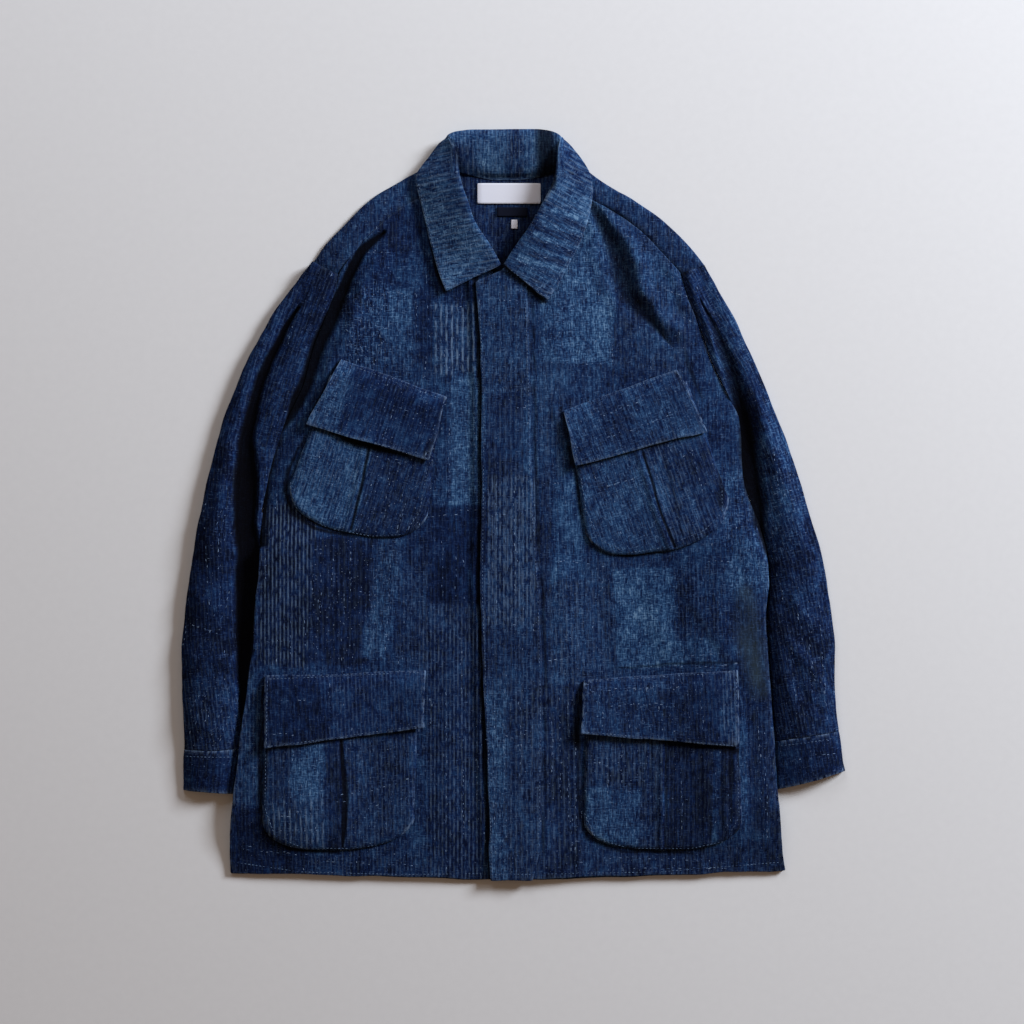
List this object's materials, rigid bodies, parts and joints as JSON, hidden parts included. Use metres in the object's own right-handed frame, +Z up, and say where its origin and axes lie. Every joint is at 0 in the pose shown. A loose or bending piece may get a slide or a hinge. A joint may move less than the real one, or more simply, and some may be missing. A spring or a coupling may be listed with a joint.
{
  "type": "patchwork field jacket",
  "caption": "Indigo patchwork field jacket laid flat face up: turned-down collar, fly front, long cuffed sleeves tucked under the sides, slanted chest pockets and straight hip pockets with flaps",
  "frame": {"origin": "middle of the outline on the floor under the jacket", "axes": "+Z up from the floor through the back to the fronts, +Y from hem to collar, -X the wearer's right half"},
  "size_m": [0.7448, 0.8402, 0.0251],
  "materials": {
    "body_cloth": "indigo patchwork cotton, woven with slubs and stitched in rows",
    "sleeve_cloth": "indigo patchwork cotton, rows along the sleeve",
    "collar_cloth": "indigo cotton, rows across the collar",
    "pocket_cloth": "indigo patchwork cotton",
    "label_white": "white woven tape, blank",
    "label_dark": "dark woven tape, blank"
  },
  "bodies": {
    "root": {"back": "body_cloth", "front_right": "body_cloth", "front_left": "body_cloth", "fly_placket": "body_cloth", "sleeve_right": "sleeve_cloth", "sleeve_left": "sleeve_cloth", "cuff_right": "sleeve_cloth", "cuff_left": "sleeve_cloth", "collar": "collar_cloth", "chest_pocket_right": "pocket_cloth", "chest_pocket_left": "pocket_cloth", "hip_pocket_right": "pocket_cloth", "hip_pocket_left": "pocket_cloth", "chest_flap_right": "pocket_cloth", "chest_flap_left": "pocket_cloth", "hip_flap_right": "pocket_cloth", "hip_flap_left": "pocket_cloth", "neck_label": "label_white", "size_tab": "label_white", "care_label": "label_dark"}
  },
  "joints": []
}
